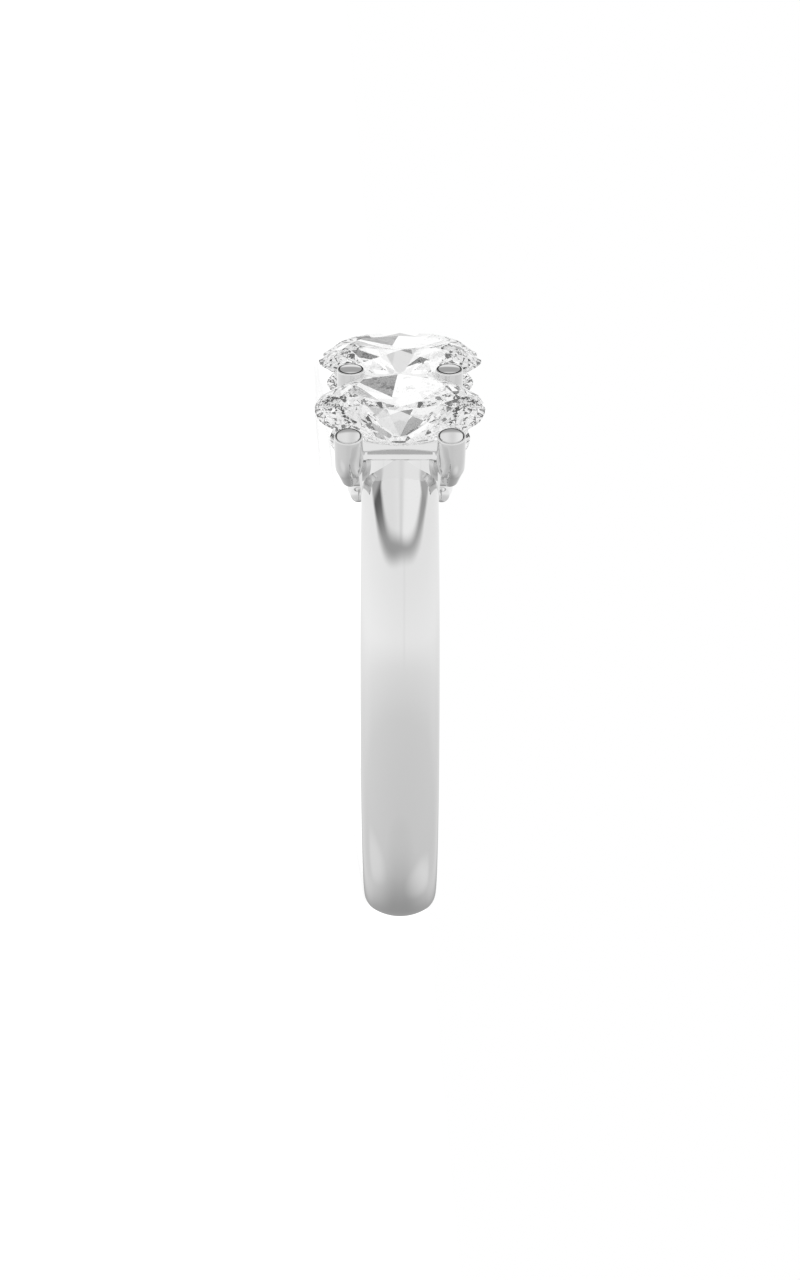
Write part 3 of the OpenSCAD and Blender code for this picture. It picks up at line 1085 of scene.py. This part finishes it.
# %% [markdown]
# A long soft light hangs overhead, and its dark frame is seen in the band as the letter
# U. On the tent's ceiling the light and its frame are two rounded boxes, one inside the
# other. How far a direction lies out is measured so that equal values make such a
# rounded box, and both edges are soft steps of that one measure. Left and right, near
# and far get their own sizes and shades, since the photo's U isn't even.

# %% Overhead light and its frame
SMALLEST_RISE = 0.001
BOX_SHIFT = 0.2
BOX_ROUNDNESS = 3
FAR_SOFTNESS = 0.09
LIGHT_SOFTNESS = 0.15
FRAME_SOFTNESS = 0.24
FRAME_VALUE_BEHIND = 0.4
LIGHT_TRIM_BEHIND = 0.15
LIGHT_SEAM_X = 0.045
LIGHT_SEAM_HALF_W = 0.13
LIGHT_SEAM_VALUE = 0.84
TENT_GAIN = 1.15

rise = maths(tree, "MAXIMUM", to_up, SMALLEST_RISE)
box_x = maths(tree, "DIVIDE", to_right, rise)
box_y = maths(tree, "DIVIDE", to_back, rise)
from_middle = maths(tree, "ADD", box_y, BOX_SHIFT)


def sides(reach, left, right):
    """A value that changes from left to right of the light box."""
    return fade(tree, box_x, -reach, reach, left, right)


def stretched(value, size):
    share = maths(tree, "ABSOLUTE", maths(tree, "DIVIDE", value, size))
    return maths(tree, "POWER", share, BOX_ROUNDNESS)


def inside_edge(edge, softness):
    """1 inside an edge of the rounded box and 0 outside, softer on the camera's side."""
    softness = blend_values(nearness, FAR_SOFTNESS, softness)
    start, stop = [maths(tree, way, edge, softness) for way in ("SUBTRACT", "ADD")]
    return fade(tree, past, start, stop, 1, 0)


across = stretched(box_x, sides(0.1, 0.80, 0.86))
along = stretched(from_middle, fade(tree, from_middle, -0.05, 0.05, 0.93, 0.85))
past = maths(tree, "POWER", maths(tree, "ADD", across, along), 1 / BOX_ROUNDNESS)
nearness = fade(tree, box_y, -0.9, -0.2, 1, 0)
behind = fade(tree, box_y, -0.22, -0.08)
light_edge = maths(tree, "SUBTRACT", sides(0.4, 0.80, 0.87), product(behind, LIGHT_TRIM_BEHIND))
in_light = inside_edge(light_edge, LIGHT_SOFTNESS)
in_frame = inside_edge(sides(0.4, 1.27, 1.19), FRAME_SOFTNESS)
frame_value = blend_values(nearness, sides(0.6, 0.11, 0.34), sides(0.6, 0.35, 0.38))
frame_value = blend_values(behind, frame_value, FRAME_VALUE_BEHIND)
light_seam = fade(tree, distance_from(box_x, LIGHT_SEAM_X), 0, LIGHT_SEAM_HALF_W, LIGHT_SEAM_VALUE, 1)
light_value = product(sides(0.3, 0.79, 0.90), light_seam)
tent = blend_values(in_frame, wall_value, frame_value)
tent = product(blend_values(in_light, tent, light_value), TENT_GAIN)
print("The studio has", len(tree.nodes), "nodes for the metal")

# %% [markdown]
# Clear stones need contrast, or they turn into grey glass. So the photographer lets
# them look at bright white everywhere, and hangs small black and grey cards in between.
# Each card is a direction, a size in degrees and a brightness, and it darkens a round
# spot of the tent with a narrow soft edge. Only light that has passed through a stone
# can see the cards.

# %% Studio for the stones
CARDS = [
    ((0.30, 0.34, -0.89), 13.5, 0.10), ((-0.59, 0.74, 0.33), 12, 0.10),
    ((-0.15, 0.93, -0.34), 9, 0.02), ((0.94, 0.19, -0.30), 13, 0.02),
    ((0.87, -0.45, -0.20), 12, 0.02), ((-0.61, -0.15, -0.78), 12, 0.02),
    ((0.12, -0.87, 0.48), 12, 0.02), ((-0.56, -0.79, 0.24), 11, 0.04),
    ((-0.10, -0.98, 0.14), 9, 0.04), ((-0.98, -0.11, 0.16), 10, 0.04),
    ((0.42, -0.40, 0.82), 10, 0.08), ((-0.42, -0.14, 0.90), 9, 0.1),
    ((0.78, 0.35, -0.52), 10, 0.36), ((0.90, -0.42, 0.15), 8, 0.34),
    ((0, 1, 0), 11, 0.66), ((0.60, 0.74, 0.33), 11, 0.66), ((0.73, 0.68, -0.02), 11, 0.64),
]
CARD_SOFTNESS = 1.2
TABLE_LIGHT = 1.1
PAPER_WHITE = 1.0
inside = fade(tree, to_up, -0.9, 0.1, 1.12, 0.86)
for arrow, size, value in CARDS:
    near, far = [math.cos(math.radians(size + side * CARD_SOFTNESS)) for side in (1, -1)]
    on_card = fade(tree, facing(Vector(arrow).normalized()), near, far)
    inside = blend_values(on_card, inside, value)

path = add(tree, "ShaderNodeLightPath").outputs
through_stone = maths(tree, "GREATER_THAN", path["Transmission Depth"], 0.5)
strength = blend_values(through_stone, tent, inside)
strength = blend_values(path["Is Diffuse Ray"], strength, TABLE_LIGHT)
strength = blend_values(path["Is Camera Ray"], strength, PAPER_WHITE)
background = add(tree, "ShaderNodeBackground")
feed(background.inputs["Strength"], strength)
background.inputs["Color"].default_value = (1, 1, 1, 1)
feed(add(tree, "ShaderNodeOutputWorld").inputs[0], background.outputs[0])
print("The stones see", len(CARDS), "cards")

# %% [markdown]
# The ring lies on a pale table that is lit from below as well, like a product table. It
# is a little brighter than white, because the photo's camera sees it almost edge on,
# where even a faint shadow would become a dark line. Mirrors and stones don't see the
# table, since its far edge would show in them as a line.

# %% Table
FLOOR_HALF = 1.5
floor_mesh = bpy.data.meshes.new("floor")
floor_mesh.from_pydata([(-FLOOR_HALF, -FLOOR_HALF, 0), (FLOOR_HALF, -FLOOR_HALF, 0),
                        (FLOOR_HALF, FLOOR_HALF, 0), (-FLOOR_HALF, FLOOR_HALF, 0)], [], [(0, 1, 2, 3)])
floor = bpy.data.objects.new("floor", floor_mesh)
scene.collection.objects.link(floor)
floor.visible_glossy = False
floor.visible_transmission = False
pale, tree, shader, on_floor = node_material("pale_floor")
feed(shader.inputs["Roughness"], fade(tree, noise(tree, on_floor, 900, 2), 0.3, 0.7, 0.8, 0.95))
shader.inputs["Base Color"].default_value = (0.45, 0.45, 0.45, 1)
shader.inputs["Specular IOR Level"].default_value = 0
shader.inputs["Emission Color"].default_value = (1, 1, 1, 1)
shader.inputs["Emission Strength"].default_value = 0.75
floor_mesh.materials.append(pale)
print("The table is", 2 * FLOOR_HALF, "m wide")

# %% [markdown]
# One weak lamp above adds a little light to the table from straight overhead. Light in
# a diamond is thrown about many times before it comes out, so the renderer may follow
# it much further than usual. The plain view transform keeps white paper white.

# %% Lamp and light paths
lamp_data = bpy.data.lights.new("overhead", "AREA")
lamp_data.energy = 0.02
lamp_data.size = 0.25
lamp = bpy.data.objects.new("overhead", lamp_data)
lamp.location = (0, 0, 0.25)
lamp.visible_glossy = False
lamp.visible_transmission = False
lamp.visible_camera = False
scene.collection.objects.link(lamp)

scene.view_settings.view_transform = "Standard"
scene.cycles.max_bounces = 32
scene.cycles.transmission_bounces = 32
scene.cycles.transparent_max_bounces = 32
scene.cycles.glossy_bounces = 16
scene.cycles.caustics_reflective = True
scene.cycles.caustics_refractive = True
print("Light may pass through", scene.cycles.transmission_bounces, "surfaces")
